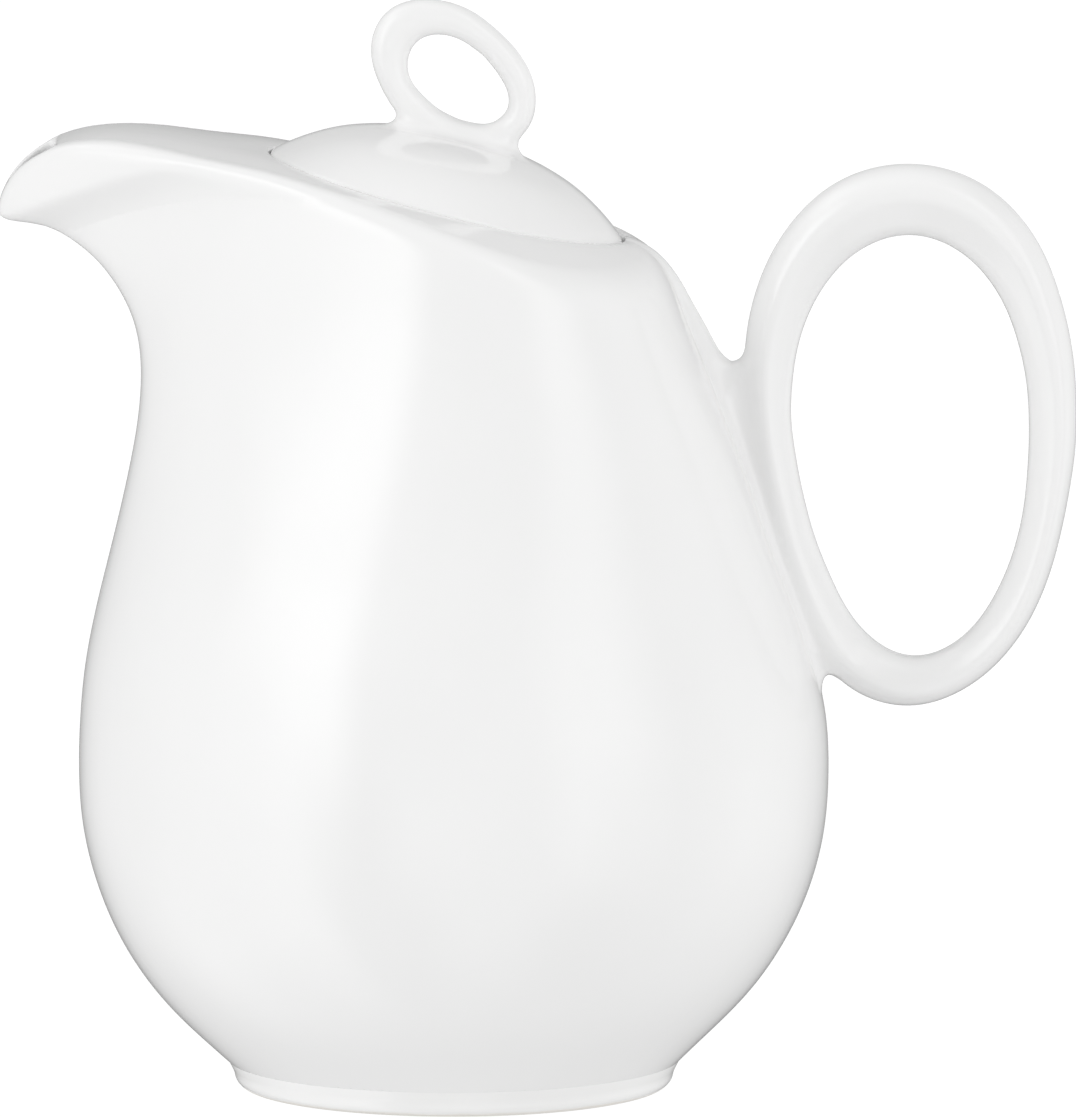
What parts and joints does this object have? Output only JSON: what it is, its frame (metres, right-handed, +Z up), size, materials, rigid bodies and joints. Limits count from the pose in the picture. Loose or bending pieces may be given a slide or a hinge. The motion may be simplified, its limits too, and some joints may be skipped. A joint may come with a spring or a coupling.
{
  "type": "coffee pot",
  "caption": "Pear-shaped glazed porcelain coffee pot with a covered spout, an upright oval ring handle and a round sloping lid with a ring knob that lifts off",
  "frame": {"origin": "Centre of the foot ring's resting plane, on the axis of the belly.", "axes": "+Z up. The spout points along -X and the handle along +X. The pot is symmetric about the plane Y = 0, so the finger openings of the handle and the knob run along Y."},
  "size_m": [0.1885, 0.1314, 0.1914],
  "materials": {
    "glazed_porcelain": "smooth clear glossy glaze over white porcelain",
    "unglazed_foot": "fine matt unglazed porcelain, ground flat"
  },
  "bodies": {
    "pot": {"pot_body": "glazed_porcelain", "foot_ring": "unglazed_foot", "handle_ring": "glazed_porcelain"},
    "lid": {"lid_cap": "glazed_porcelain", "lid_flange": "glazed_porcelain", "lid_lug": "glazed_porcelain", "lid_knob": "glazed_porcelain"}
  },
  "joints": [
    {"name": "lid_lift", "type": "slide", "parent": "pot", "child": "lid", "axis": [0.2487, 0, 0.9686], "range_m": [0, 0.06]}
  ]
}
